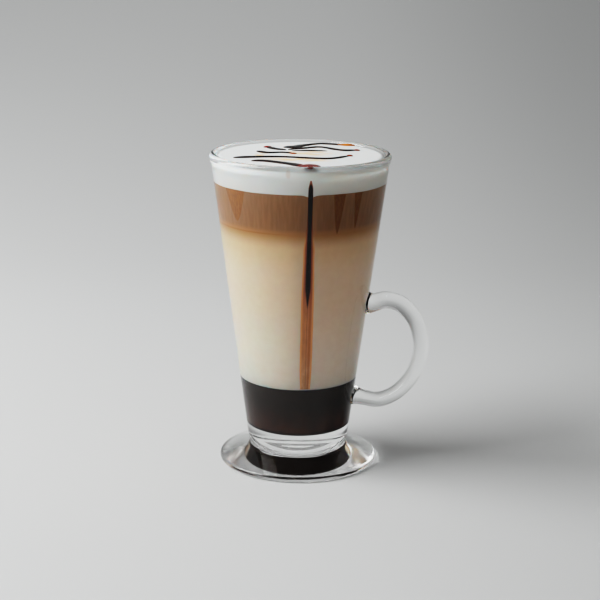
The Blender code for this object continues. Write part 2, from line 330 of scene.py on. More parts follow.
class StageSettings(bpy.types.PropertyGroup):
    """The floor, the lights and the camera."""

    floor: FloatVectorProperty(
        name="Floor", description="Colour of the floor", default=(0.585, 0.593, 0.591), subtype="COLOR"
    )
    key: FloatProperty(
        name="Key light", description="Power of the soft light on the left, in watts", default=11.8
    )
    key_distance: FloatProperty(
        name="Key distance",
        description="From the mug to the soft light on the left",
        default=0.92,
        unit="LENGTH",
    )
    fill: FloatProperty(
        name="Fill light", description="Strength of the light all round, on the left", default=0.38
    )
    dim: FloatProperty(
        name="Dim side", description="Strength of the light all round, on the right", default=0.30
    )
    lens: FloatProperty(name="Lens", description="Focal length in millimetres", default=90.0)
    sensor: FloatProperty(
        name="Sensor", description="Width of the camera's sensor in millimetres", default=36.0
    )
    distance: FloatProperty(
        name="Distance",
        description="From the mug's axis to the camera, level",
        default=647.4 * MM,
        unit="LENGTH",
    )
    height: FloatProperty(
        name="Height", description="Height of the camera", default=244.0 * MM, unit="LENGTH"
    )
    turn: FloatProperty(
        name="Turn", description="Angle of the camera round the mug", default=CAMERA_TURN, subtype="ANGLE"
    )
    pitch: FloatProperty(
        name="Pitch",
        description="Angle the camera looks down",
        default=math.radians(14.76),
        subtype="ANGLE",
    )
    roll: FloatProperty(
        name="Roll", description="Angle the camera leans", default=math.radians(0.6), subtype="ANGLE"
    )


# Outlines


def upward(length):
    """A vector straight up."""
    return Vector((0.0, 0.0, length))


def arc(centre, radius, start, end, steps):
    """Points (distance from the axis, height) on a circle, from one angle to another in degrees."""
    points = []
    for step in range(steps + 1):
        angle = math.radians(start + (end - start) * step / steps)
        points.append((centre[0] + radius * math.cos(angle), centre[1] + radius * math.sin(angle)))
    return points


def body_radius(height):
    """The body's outside, where it is a plain cone."""
    return BODY_START_RADIUS + BODY_FLARE * (height - BODY_START)


def cavity_radius(height, wall):
    """The inside of the mug's wall, above the cavity's rounded corner."""
    return body_radius(height) - wall


def cavity_corner(inset, wall):
    """The rounded corner between the cavity's wall and its floor, moved inwards by an inset."""
    height = CAVITY_FLOOR + CAVITY_CORNER
    centre = (cavity_radius(height, wall) - CAVITY_CORNER * math.hypot(1.0, BODY_FLARE), height)
    wall_angle = math.degrees(math.atan(BODY_FLARE))
    return arc(centre, CAVITY_CORNER - inset, start=-wall_angle, end=-90.0, steps=16)


def foot_outline():
    """The foot's flat underside, its rounded edge and the start of the slope."""
    edge_round = FOOT_EDGE / 2
    centre = FOOT_RADIUS - edge_round
    flat = [(centre * share, 0.0) for share in UNDERSIDE_RINGS]
    slope = math.degrees(FOOT_SLOPE)
    return flat + arc((centre, edge_round), edge_round, start=-90.0, end=90.0 - slope, steps=20)


def body_bottom_outline():
    """The fillet at the waist and the rounded bottom that runs up into the cone."""
    wall_angle = -math.atan(BODY_FLARE)
    round_centre = Vector((
        BODY_START_RADIUS - BODY_BOTTOM_ROUND * math.cos(wall_angle),
        BODY_START - BODY_BOTTOM_ROUND * math.sin(wall_angle),
    ))
    slope_start = Vector(foot_outline()[-1])
    inward = Vector((-math.cos(FOOT_SLOPE), math.sin(FOOT_SLOPE)))
    upright = Vector((math.sin(FOOT_SLOPE), math.cos(FOOT_SLOPE)))
    apart = slope_start + upright * WAIST_FILLET - round_centre
    along = apart.dot(inward)
    reach = BODY_BOTTOM_ROUND + WAIST_FILLET
    travel = -along - math.sqrt(along**2 - apart.length_squared + reach**2)
    fillet_centre = slope_start + upright * WAIST_FILLET + inward * travel
    drop = fillet_centre - round_centre
    meeting = math.degrees(math.atan2(drop.y, drop.x))
    slope_end = slope_start + inward * travel
    slope = [tuple(slope_start.lerp(slope_end, share)) for share in SLOPE_RINGS]
    fillet_start = 270.0 - math.degrees(FOOT_SLOPE)
    fillet = arc(fillet_centre, WAIST_FILLET, start=fillet_start, end=180.0 + meeting, steps=12)
    bottom = arc(round_centre, BODY_BOTTOM_ROUND, start=meeting, end=math.degrees(wall_angle), steps=24)
    return slope + fillet + bottom[1:]


def lip_outline():
    """The bead that swells out of the body, over its top and down to the cavity."""
    middle = MUG_HIGH.z - LIP_ROUND
    swell_start = middle - LIP_DROP
    start_radius = body_radius(swell_start)
    rim_radius = MUG_HIGH.y
    swell = []
    steps = 14
    for step in range(steps):
        share = step / steps
        ease = math.sin(share * math.pi / 2) ** 2
        swell.append((start_radius + (rim_radius - start_radius) * ease, swell_start + LIP_DROP * share))
    return swell + arc((rim_radius - LIP_ROUND, middle), LIP_ROUND, start=0.0, end=180.0, steps=20)


def glass_outline(wall):
    """The mug's half section, from the middle of its underside round to the middle of the cavity."""
    inside = cavity_corner(0.0, wall)
    floor = [(inside[-1][0] * share, CAVITY_FLOOR) for share in CAVITY_FLOOR_RINGS]
    return foot_outline() + body_bottom_outline() + lip_outline() + inside + floor


def smooth_line(points, steps):
    """Points on a Catmull-Rom curve through the given points, which it starts and ends on."""
    vectors = [Vector(point) for point in points]
    vectors = [2 * vectors[0] - vectors[1], *vectors, 2 * vectors[-1] - vectors[-2]]
    line = []
    for before, start, end, after in zip(vectors, vectors[1:], vectors[2:], vectors[3:]):
        for step in range(steps):
            t = step / steps
            bend = (2 * before - 5 * start + 4 * end - after) * t * t
            turn = (3 * start - before - 3 * end + after) * t * t * t
            line.append((2 * start + (end - before) * t + bend + turn) / 2)
    line.append(vectors[-2])
    return line


def read_table(value, table):
    """Reads a table of (place, amount) pairs at a place between them."""
    places, amounts = zip(*table)
    return float(np.interp(value, places, amounts))


# Meshes


def add_piece(name, shape, material, slot, *nodes):
    """Turns a bmesh into a smooth piece that rides on the mug and stands for the named solids."""
    bmesh.ops.recalc_face_normals(shape, faces=shape.faces)
    mesh = bpy.data.meshes.new(name)
    shape.to_mesh(mesh)
    shape.free()
    mesh.shade_smooth()
    mesh.set_sharp_from_angle(angle=SHARP_ANGLE)
    mesh.materials.append(material)
    piece = bpy.data.objects.new(name, mesh)
    bpy.context.scene.collection.objects.link(piece)
    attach(piece, "root")
    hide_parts(*nodes)
    return piece


def turned(outline, turns):
    """A solid turned about Z from a half section that starts and ends on the axis."""
    shape = bmesh.new()
    angles = [2.0 * math.pi * index / turns for index in range(turns)]
    rings = []
    for radius, height in outline:
        if radius == 0.0:
            rings.append([shape.verts.new((0.0, 0.0, height))])
        else:
            round_points = [(radius * math.cos(turn), radius * math.sin(turn), height) for turn in angles]
            rings.append([shape.verts.new(point) for point in round_points])
    for low, high in zip(rings, rings[1:]):
        for index in range(turns):
            after = (index + 1) % turns
            if len(low) == 1:
                shape.faces.new((low[0], high[after], high[index]))
            elif len(high) == 1:
                shape.faces.new((low[index], low[after], high[0]))
            else:
                shape.faces.new((low[index], low[after], high[after], high[index]))
    return shape


def loft_into(shape, sections):
    """Skins closed sections of equally many points, with flat ends, and returns the rings of points."""
    rings = [[shape.verts.new(point) for point in section] for section in sections]
    count = len(rings[0])
    for low, high in zip(rings, rings[1:]):
        for index in range(count):
            after = (index + 1) % count
            shape.faces.new((low[index], low[after], high[after], high[index]))
    shape.faces.new(rings[0][::-1])
    shape.faces.new(rings[-1])
    return rings


def handle_sections():
    """Oval sections along the handle, thick at the top, thinner below and flared at both roots."""
    line = smooth_line([(x * MM, 0.0, z * MM) for x, z in HANDLE_LINE], HANDLE_STEPS)
    travelled = [0.0]
    for before, after in zip(line, line[1:]):
        travelled.append(travelled[-1] + (after - before).length)
    total = travelled[-1]
    sections = []
    for index, middle in enumerate(line):
        along = (line[min(index + 1, len(line) - 1)] - line[max(index - 1, 0)]).normalized()
        outward = along.cross(Vector((0.0, 1.0, 0.0)))
        to_root = min(travelled[index], total - travelled[index])
        flare = ROOT_FLARE * math.exp(-((to_root / ROOT_LENGTH) ** 2))
        thinning = min(1.0, HANDLE_THINNING * travelled[index] / total)
        half = HANDLE_UPPER_HALF + (HANDLE_LOWER_HALF - HANDLE_UPPER_HALF) * thinning + flare
        width = HANDLE_HALF_WIDTH + flare / 2
        section = []
        for side in range(HANDLE_SIDES):
            angle = 2.0 * math.pi * side / HANDLE_SIDES
            sideways = Vector((0.0, width * math.sin(angle), 0.0))
            section.append(middle + outward * (half * math.cos(angle)) + sideways)
        sections.append(section)
    return sections


def join_by_boolean(piece, other):
    """Joins another object to a piece and removes it."""
    modifier = piece.modifiers.new("Join", "BOOLEAN")
    modifier.operation = "UNION"
    modifier.solver = "EXACT"
    modifier.object = other
    graph = bpy.context.evaluated_depsgraph_get()
    joined = bpy.data.meshes.new_from_object(piece.evaluated_get(graph), depsgraph=graph)
    piece.modifiers.clear()
    piece.data = joined
    bpy.data.objects.remove(other, do_unlink=True)


def foam_height(radius, wall):
    """The foam's top, which is a shallow dome."""
    share = radius / cavity_radius(FOAM_EDGE, wall)
    return FOAM_EDGE + FOAM_DOME * (1.0 - share**2)


def stroke_sections(stroke, wall):
    """Lens sections along one stroke of sauce, whose ends come to small tips."""
    line = smooth_line(stroke, STROKE_STEPS)
    last = len(line) - 1
    sections = []
    for index, point in enumerate(line):
        before, after = line[max(index - 1, 0)], line[min(index + 1, last)]
        along = Vector((after.x - before.x, after.y - before.y, 0.0)).normalized()
        across = Vector((-along.y, along.x, 0.0))
        tip = math.sqrt(min(1.0, min(index, last - index) / STROKE_TIP_STEPS))
        waver = 1.0 + STROKE_WAVER * noise.noise(Vector((point.x, point.y, 3.0)) * STROKE_WAVER_SCALE)
        half = point.z * MM * (STROKE_TIP_WIDTH + (1.0 - STROKE_TIP_WIDTH) * tip) * waver
        rise = STROKE_RISE * (STROKE_TIP_RISE + (1.0 - STROKE_TIP_RISE) * tip)
        middle = Vector((point.x * MM, point.y * MM, 0.0))
        middle.z = foam_height(middle.length, wall)
        section = []
        for side in range(STROKE_SIDES):
            angle = 2.0 * math.pi * side / STROKE_SIDES
            lift = (rise if math.sin(angle) > 0.0 else STROKE_SINK) * math.sin(angle)
            section.append(middle + across * (half * math.cos(angle)) + upward(lift))
        sections.append(section)
    return sections


# Materials


def darker(colour, share):
    """A colour with only a share of its light."""
    return tuple(share * part for part in colour)


def new_material(name, roughness, specular):
    """A new material, its node tree and its shader, whose shine is set."""
    material = bpy.data.materials.new(name)
    material.use_nodes = True
    tree = material.node_tree
    shader = tree.nodes["Principled BSDF"]
    shader.inputs["Roughness"].default_value = roughness
    shader.inputs["Specular IOR Level"].default_value = specular
    return material, tree, shader


def add_node(tree, kind, **values):
    """Adds a node and sets its properties, or its inputs where the value's name is an input's."""
    node = tree.nodes.new(kind)
    for name, value in values.items():
        if hasattr(node, name):
            setattr(node, name, value)
        else:
            node.inputs[name.replace("_", " ")].default_value = value
    return node


def maths(tree, operation, *values):
    """A Math node on sockets or numbers, and its result."""
    node = add_node(tree, "ShaderNodeMath", operation=operation)
    for place, value in enumerate(values):
        if isinstance(value, (int, float)):
            node.inputs[place].default_value = value
        else:
            tree.links.new(value, node.inputs[place])
    return node.outputs[0]


def times(tree, value, *shares):
    """A value multiplied by each share in turn."""
    for share in shares:
        value = maths(tree, "MULTIPLY", value, share)
    return value


def mix_colours(tree, share, first, second, blend="MIX"):
    """A colour between two, each a socket or three numbers, or the first multiplied by the second."""
    node = add_node(tree, "ShaderNodeMix", data_type="RGBA", blend_type=blend)
    for place, value in ((MIX_FIRST, first), (MIX_SECOND, second)):
        if isinstance(value, bpy.types.NodeSocket):
            tree.links.new(value, node.inputs[place])
        else:
            node.inputs[place].default_value = (*value, 1.0)
    if isinstance(share, (int, float)):
        node.inputs[0].default_value = share
    else:
        tree.links.new(share, node.inputs[0])
    return node.outputs[MIX_RESULT]


def smooth_share(tree, value, low, high):
    """How far a value has come from a low place to a high one, eased at both ends."""
    node = add_node(tree, "ShaderNodeMapRange", interpolation_type="SMOOTHSTEP")
    tree.links.new(value, node.inputs["Value"])
    node.inputs["From Min"].default_value = low
    node.inputs["From Max"].default_value = high
    return node.outputs["Result"]


def read_attribute(tree, name):
    """A number that the mesh holds for each of its points."""
    return add_node(tree, "ShaderNodeAttribute", attribute_name=name).outputs["Fac"]


def place_on_piece(tree):
    """The place on the piece in the piece's own frame, and that place's three parts."""
    place = add_node(tree, "ShaderNodeTexCoord").outputs["Object"]
    parts = add_node(tree, "ShaderNodeSeparateXYZ")
    tree.links.new(place, parts.inputs[0])
    return place, parts.outputs


def cloudiness(tree, place, scale, detail=3.0, stretch=(1.0, 1.0, 1.0)):
    """Noise about 0.5, at so many patches to the metre, stretched along each axis."""
    fit = add_node(tree, "ShaderNodeMapping")
    fit.inputs["Scale"].default_value = stretch
    tree.links.new(place, fit.inputs["Vector"])
    node = add_node(tree, "ShaderNodeTexNoise", Scale=scale, Detail=detail)
    tree.links.new(fit.outputs[0], node.inputs["Vector"])
    return node.outputs["Fac"]


def add_bump(tree, shader, height, distance, strength=1.0):
    """Lets a height between 0 and 1 raise the surface by up to a distance."""
    node = add_node(tree, "ShaderNodeBump", Strength=strength, Distance=distance)
    tree.links.new(height, node.inputs["Height"])
    tree.links.new(node.outputs[0], shader.inputs["Normal"])


def vector_maths(tree, operation, first, second):
    """A Vector Math node on a socket and a fixed vector, and its result."""
    node = add_node(tree, "ShaderNodeVectorMath", operation=operation)
    tree.links.new(first, node.inputs[0])
    node.inputs[1].default_value = second
    return node.outputs["Value" if operation in {"LENGTH", "DOT_PRODUCT"} else "Vector"]


def spot(tree, place, centre, halves, softness):
    """The share of an oval spot, from one in its middle to none at its edge; sizes are in millimetres."""
    away = vector_maths(tree, "SUBTRACT", place, Vector(centre) * MM)
    away = vector_maths(tree, "DIVIDE", away, Vector(halves) * MM)
    return smooth_share(tree, vector_maths(tree, "LENGTH", away, (0.0, 0.0, 0.0)), 1.0, 1.0 - softness)


def painted_warm_shade(tree, place, parts, colour, tint, start, end):
    """Painted warm shade: a colour tinted towards the side away from the key light, standing in for light
    that has come further through the drink.

    The start and end are places across the mug, from -1 on the bright side to 1 on the far one.
    """
    squares = [maths(tree, "POWER", parts[axis], 2) for axis in ("X", "Y")]
    out = maths(tree, "SQRT", maths(tree, "ADD", *squares))
    across = maths(tree, "DIVIDE", vector_maths(tree, "DOT_PRODUCT", place, PAINTED_SHADE_SIDE), out)
    return mix_colours(tree, smooth_share(tree, across, start, end), colour, tint, "MULTIPLY")


# Glass: its slow ripple, and the fine roughness of the foot's underside
RIPPLE_SCALE = 60.0
RIPPLE_STRETCH = (1.0, 1.0, 0.5)
RIPPLE_HEIGHT = 0.08 * MM
UNDERSIDE_SCALE = 1300.0
UNDERSIDE_SHARE = 0.22
UNDERSIDE_RANGE = (1.2 * MM, 0.1 * MM)
CLEAR_SPECULAR = 0.5


def glass_material(settings):
    """Clear pressed glass with a faint slow ripple and a rough underside."""
    material, tree, shader = new_material("pressed_glass", 0.0, CLEAR_SPECULAR)
    shader.inputs["Base Color"].default_value = (*settings.colour, 1.0)
    shader.inputs["IOR"].default_value = settings.bend
    shader.inputs["Transmission Weight"].default_value = 1.0
    place, parts = place_on_piece(tree)
    ripple = cloudiness(tree, place, RIPPLE_SCALE, detail=1.0, stretch=RIPPLE_STRETCH)
    rough = cloudiness(tree, place, UNDERSIDE_SCALE)
    underneath = smooth_share(tree, parts["Z"], *UNDERSIDE_RANGE)
    rough = times(tree, rough, underneath, UNDERSIDE_SHARE)
    add_bump(tree, shader, maths(tree, "ADD", ripple, rough), RIPPLE_HEIGHT)
    return material


# Drink and sauce against the glass: no shine of their own
MATT = 0.5
NO_SHINE = 0.0


def soft_layer(name, radius, scale, roughness=MATT):
    """A drink's shader: light goes in and comes out nearby, further for red than for blue."""
    material, tree, shader = new_material(name, roughness, NO_SHINE)
    shader.inputs["Subsurface Weight"].default_value = 1.0
    shader.inputs["Subsurface Radius"].default_value = radius
    shader.inputs["Subsurface Scale"].default_value = scale
    return material, tree, shader


# Syrup: the warm cloud that fades upwards and keeps off the cavity's floor, and the light specks on it
SYRUP_CLOUD = (0.105, 0.040, 0.026)
SYRUP_CLOUD_SCALE = 180.0
SYRUP_CLOUD_RANGE = (32.0 * MM, CAVITY_FLOOR)
SYRUP_CLEAR_RANGE = (CAVITY_FLOOR + 0.2 * MM, CAVITY_FLOOR + 2.5 * MM)
SYRUP_SPECK = (0.16, 0.15, 0.14)
SYRUP_SPECK_SCALE = 1100.0
SYRUP_SPECK_SHARE = (0.55, 0.68)
SYRUP_SPECK_RANGE = (CAVITY_FLOOR + 0.3 * MM, CAVITY_FLOOR)


def syrup_material(settings):
    """Nearly black syrup, a little warmer in clouds low down, with light specks under it."""
    material, tree, shader = new_material("thick_syrup", MATT, NO_SHINE)
    place, parts = place_on_piece(tree)
    low_down = smooth_share(tree, parts["Z"], *SYRUP_CLOUD_RANGE)
    clear_of_floor = smooth_share(tree, parts["Z"], *SYRUP_CLEAR_RANGE)
    cloud = times(tree, low_down, clear_of_floor, cloudiness(tree, place, SYRUP_CLOUD_SCALE))
    colour = mix_colours(tree, cloud, tuple(settings.syrup), SYRUP_CLOUD)
    specks = smooth_share(tree, cloudiness(tree, place, SYRUP_SPECK_SCALE, detail=2.0), *SYRUP_SPECK_SHARE)
    at_floor = smooth_share(tree, parts["Z"], *SYRUP_SPECK_RANGE)
    colour = mix_colours(tree, times(tree, specks, at_floor), colour, SYRUP_SPECK)
    tree.links.new(colour, shader.inputs["Base Color"])
    return material


# Milk: how far light goes in, the heights between which coffee tints it, and how clouds shift them
MILK_SCATTER = (1.0, 0.6, 0.4)
MILK_DEPTH = 3.5 * MM
MILK_LATTE_RANGE = (44.0 * MM, 90.0 * MM)
MILK_HONEY_RANGE = (90.0 * MM, 105.0 * MM)
MILK_HONEY = (0.78, 0.65, 0.445)
MILK_TOP_RANGE = (103.2 * MM, MILK_HIGH.z + 1.6 * MM)
MILK_TOP = (0.50, 0.275, 0.105)
MILK_CLOUD_SCALE = 45.0
MILK_CLOUD_SHIFT = 5.0 * MM
MILK_TOP_SHIFT = 1.5 * MM

# Milk: its faint specks, and the painted warm shade that tints it across the mug, away from the light
MILK_SPECK = (0.965, 0.955, 0.94)
MILK_SPECK_SCALE = 330.0
MILK_SPECK_SHARE = (0.25, 0.75)
MILK_PAINTED_SHADE_TINT = (1.08, 0.995, 0.99)
MILK_PAINTED_SHADE_RANGE = (-0.9, 0.4)


def milk_material(settings):
    """Milk that the coffee above it has tinted, most of all at the top, with painted warm shade on the side
    away from the light.
    """
    material, tree, shader = soft_layer("milk", MILK_SCATTER, MILK_DEPTH)
    place, parts = place_on_piece(tree)
    cloud = maths(tree, "SUBTRACT", cloudiness(tree, place, MILK_CLOUD_SCALE, detail=2.0), 0.5)
    height = maths(tree, "ADD", parts["Z"], times(tree, cloud, MILK_CLOUD_SHIFT))
    near_coffee = maths(tree, "ADD", parts["Z"], times(tree, cloud, MILK_TOP_SHIFT))
    latte = smooth_share(tree, height, *MILK_LATTE_RANGE)
    colour = mix_colours(tree, latte, tuple(settings.milk), tuple(settings.latte))
    colour = mix_colours(tree, smooth_share(tree, height, *MILK_HONEY_RANGE), colour, MILK_HONEY)
    colour = mix_colours(tree, smooth_share(tree, near_coffee, *MILK_TOP_RANGE), colour, MILK_TOP)
    specks = smooth_share(tree, cloudiness(tree, place, MILK_SPECK_SCALE, detail=4.0), *MILK_SPECK_SHARE)
    colour = mix_colours(tree, specks, colour, MILK_SPECK, "MULTIPLY")
    # Painted warm shade: the side away from the key light is tinted warmer and redder
    colour = painted_warm_shade(tree, place, parts, colour, MILK_PAINTED_SHADE_TINT, *MILK_PAINTED_SHADE_RANGE)
    tree.links.new(colour, shader.inputs["Base Color"])
    return material


# Coffee: how far light goes in, its fine upright streaks and the paler band at its foot
COFFEE_SCATTER = (1.0, 0.5, 0.3)
COFFEE_DEPTH = 0.4 * MM
COFFEE_STREAK_SCALE = 800.0
COFFEE_STREAK_STRETCH = (1.0, 1.0, 0.03)
COFFEE_STREAK_SHARE = (0.35, 0.7)
COFFEE_STREAK_DARK = 0.85
COFFEE_BAND = (0.52, 0.28, 0.12)
COFFEE_BAND_RANGE = (COFFEE_LOW.z + 3.2 * MM, COFFEE_LOW.z + 0.4 * MM)

# Coffee: the thin dark line along its foot on the left, its half thickness and where it fades out
COFFEE_LINE = (0.42, 0.19, 0.065)
COFFEE_LINE_HEIGHT = COFFEE_LOW.z + 0.35 * MM
COFFEE_LINE_HALF = (0.45 * MM, 0.1 * MM)
COFFEE_LINE_RANGE = (2.0 * MM, -14.0 * MM)
COFFEE_LINE_STRENGTH = 0.6

# Darker runs of coffee from the foam: turn and half width in radians, lowest point and colour
COFFEE_RUNS = (
    (-2.30, 0.164, COFFEE_LOW.z + 4.0 * MM, (0.41, 0.180, 0.052)),
    (-0.95, 0.078, COFFEE_LOW.z + 0.3 * MM, (0.31, 0.124, 0.034)),
    (-0.684, 0.060, COFFEE_LOW.z + 1.8 * MM, (0.31, 0.124, 0.036)),
)
RUN_NARROWING = 0.6
RUN_EDGE = (-0.006, 0.010)
RUN_STRENGTH = 0.95
RUN_GRAIN_SCALE = 1500.0
RUN_GRAIN_STRETCH = (1.0, 1.0, 0.35)
RUN_GRAIN_SHARE = (0.35, 0.65)
RUN_GRAIN_DARK = 0.74


def run_mark(tree, parts, turn, half_width, top, bottom):
    """The share of a mark that runs down the wall from its top and narrows to a point."""
    turned_to = maths(tree, "ARCTAN2", parts["Y"], parts["X"])
    away = maths(tree, "ABSOLUTE", maths(tree, "SUBTRACT", turned_to, turn))
    down = add_node(tree, "ShaderNodeMapRange")
    tree.links.new(parts["Z"], down.inputs["Value"])
    down.inputs["From Min"].default_value = bottom
    down.inputs["From Max"].default_value = top
    width = times(tree, maths(tree, "POWER", down.outputs["Result"], RUN_NARROWING), half_width)
    inside = maths(tree, "SUBTRACT", width, away)
    return smooth_share(tree, inside, *RUN_EDGE)


def coffee_material(settings):
    """Coffee with fine upright streaks, a paler band and a thin line at its foot, and three darker runs."""
    material, tree, shader = soft_layer("coffee", COFFEE_SCATTER, COFFEE_DEPTH)
    place, parts = place_on_piece(tree)
    streaks = cloudiness(tree, place, COFFEE_STREAK_SCALE, detail=4.0, stretch=COFFEE_STREAK_STRETCH)
    streaks = smooth_share(tree, streaks, *COFFEE_STREAK_SHARE)
    dark = darker(settings.coffee, COFFEE_STREAK_DARK)
    colour = mix_colours(tree, streaks, dark, tuple(settings.coffee))
    band = smooth_share(tree, parts["Z"], *COFFEE_BAND_RANGE)
    colour = mix_colours(tree, band, colour, COFFEE_BAND)
    grain = cloudiness(tree, place, RUN_GRAIN_SCALE, stretch=RUN_GRAIN_STRETCH)
    grain = smooth_share(tree, grain, *RUN_GRAIN_SHARE)
    for turn, half_width, bottom, tint in COFFEE_RUNS:
        mark = run_mark(tree, parts, turn, half_width, COFFEE_HIGH.z, bottom)
        mottled = mix_colours(tree, grain, tint, darker(tint, RUN_GRAIN_DARK))
        colour = mix_colours(tree, times(tree, mark, RUN_STRENGTH), colour, mottled)
    line = maths(tree, "ABSOLUTE", maths(tree, "SUBTRACT", parts["Z"], COFFEE_LINE_HEIGHT))
    line = smooth_share(tree, line, *COFFEE_LINE_HALF)
    left = smooth_share(tree, parts["X"], *COFFEE_LINE_RANGE)
    colour = mix_colours(tree, times(tree, line, left, COFFEE_LINE_STRENGTH), colour, COFFEE_LINE)
    tree.links.new(colour, shader.inputs["Base Color"])
    return material


# Foam: how far light goes in, its mottle, the painted shade that greys its top, the painted warm shade on
# its side away from the light, and its grain
FOAM_SCATTER = (1.0, 0.8, 0.7)
FOAM_DEPTH = 0.6 * MM
FOAM_ROUGHNESS = 0.6
FOAM_MOTTLE_SCALE = 160.0
FOAM_MOTTLE_DARK = 0.95
FOAM_TOP_PAINTED_SHADE = (0.78, 0.785, 0.78)
FOAM_PAINTED_SHADE_TINT = (1.0, 0.97, 0.92)
FOAM_PAINTED_SHADE_RANGE = (-0.3, 0.4)
FOAM_GRAIN_SCALE = 2600.0
FOAM_GRAIN_HEIGHT = 0.05 * MM
FOAM_GRAIN_STRENGTH = 0.5

# Stains on the foam: centre and half lengths in millimetres, colour and strength, broken up by wisps
FOAM_LEVEL = FOAM_EDGE / MM
FOAM_STAINS = (
    ((0.0, -15.8, FOAM_LEVEL), (20.0, 6.0, 2.5), (0.72, 0.50, 0.29), 0.95),
    ((3.0, 2.5, FOAM_LEVEL), (14.0, 10.0, 2.5), (0.72, 0.50, 0.30), 0.95),
    ((-16.9, -4.5, FOAM_LEVEL), (3.4, 6.5, 2.0), (0.70, 0.44, 0.20), 0.95),
    ((0.2, -36.4, 136.8), (1.3, 1.5, 2.6), (0.66, 0.52, 0.42), 0.4),
)
STAIN_SOFTNESS = 0.6
WISP_SCALE = 260.0
WISP_STRETCH = (0.5, 1.6, 1.0)
WISP_SHARE = (0.32, 0.58)


def foam_material(settings):
    """Fine foam: nearly white, with a faint grain, pale stains where sauce has soaked in, painted shade on
    its top and painted warm shade on its side away from the light.
    """
    material, tree, shader = soft_layer("milk_foam", FOAM_SCATTER, FOAM_DEPTH, FOAM_ROUGHNESS)
    place, parts = place_on_piece(tree)
    mottle = cloudiness(tree, place, FOAM_MOTTLE_SCALE)
    colour = mix_colours(tree, mottle, tuple(settings.foam), darker(settings.foam, FOAM_MOTTLE_DARK))
    # Painted shade: the foam's top is multiplied darker and greyer than its side
    painted_shade_on_top = smooth_share(tree, parts["Z"], FOAM_EDGE - FOAM_SHOULDER, FOAM_EDGE)
    colour = mix_colours(tree, painted_shade_on_top, colour, FOAM_TOP_PAINTED_SHADE, "MULTIPLY")
    wisps = smooth_share(tree, cloudiness(tree, place, WISP_SCALE, stretch=WISP_STRETCH), *WISP_SHARE)
    for centre, halves, tint, strength in FOAM_STAINS:
        stain = times(tree, spot(tree, place, centre, halves, STAIN_SOFTNESS), wisps, strength)
        colour = mix_colours(tree, stain, colour, tint)
    # Painted warm shade on the foam's side below the shoulder, away from the key light
    side = smooth_share(tree, parts["Z"], FOAM_EDGE - FOAM_SHOULDER / 2, FOAM_EDGE - FOAM_SHOULDER)
    warm = painted_warm_shade(tree, place, parts, colour, FOAM_PAINTED_SHADE_TINT, *FOAM_PAINTED_SHADE_RANGE)
    colour = mix_colours(tree, side, colour, warm)
    tree.links.new(colour, shader.inputs["Base Color"])
    grain = cloudiness(tree, place, FOAM_GRAIN_SCALE, detail=2.0)
    add_bump(tree, shader, grain, FOAM_GRAIN_HEIGHT, FOAM_GRAIN_STRENGTH)
    return material


# Sauce on the foam: its shine, its thin brown rim, and the patches of a drop that light shines through
SAUCE_ROUGHNESS = 0.18
SAUCE_SPECULAR = 0.18
SAUCE_RIM = (0.16, 0.075, 0.04)
SAUCE_RIM_THICKNESS = 0.3
SAUCE_ORANGE = (0.55, 0.17, 0.02)
SAUCE_PATCH_SCALE = 420.0
SAUCE_PATCH_SHARE = (0.25, 0.5)


def sauce_material(settings):
    """Glossy sauce: nearly black, and red or orange where light shines through a drop."""
    material, tree, shader = new_material("glossy_sauce", SAUCE_ROUGHNESS, SAUCE_SPECULAR)
    thick = smooth_share(tree, read_attribute(tree, "sauce_thickness"), 0.0, SAUCE_RIM_THICKNESS)
    colour = mix_colours(tree, thick, SAUCE_RIM, tuple(settings.dark))
    place, _ = place_on_piece(tree)
    patches = smooth_share(tree, cloudiness(tree, place, SAUCE_PATCH_SCALE), *SAUCE_PATCH_SHARE)
    warmth = read_attribute(tree, "sauce_warmth")
    clear = mix_colours(tree, warmth, tuple(settings.red), SAUCE_ORANGE)
    drop = times(tree, read_attribute(tree, "sauce_drop"), patches)
    colour = mix_colours(tree, drop, colour, clear)
    tree.links.new(colour, shader.inputs["Base Color"])
    return material


# Streak: fine threads in the thin sauce, and paler blots low down
THREAD_SCALE = 1400.0
THREAD_STRETCH = (1.0, 1.0, 0.08)
THREAD_SHARE = (0.3, 0.7)
THREAD_DARK = 0.82
BLOT_SCALE = 420.0
BLOT_STRETCH = (1.0, 1.0, 0.5)
BLOT_SHARE = (0.35, 0.65)
BLOT_BROWN = (0.56, 0.29, 0.15)
BLOT_PALE = (0.72, 0.44, 0.27)
BLOT_RANGE = (60.0 * MM, 42.0 * MM)

# Streak: the brown line on its right half, as a place from -1 at one side to 1 at the other
STREAK_LINE = (0.42, 0.15, 0.06)
STREAK_LINE_PLACE = 0.45
STREAK_LINE_HALF = (0.26, 0.06)
STREAK_LINE_STRENGTH = 0.75

# Streak: its red-brown upper part, and its sides in the coffee and in the milk
STREAK_UPPER = (0.40, 0.12, 0.06)
STREAK_UPPER_RANGE = (70.0 * MM, 90.0 * MM)
STREAK_SIDE_SHARE = (0.62, 0.9)
STREAK_SIDE_COFFEE = (0.30, 0.11, 0.05)
STREAK_SIDE_MILK = (0.84, 0.42, 0.17)
STREAK_MILK_RANGE = (COFFEE_LOW.z + 3.0 * MM, COFFEE_LOW.z - 4.0 * MM)


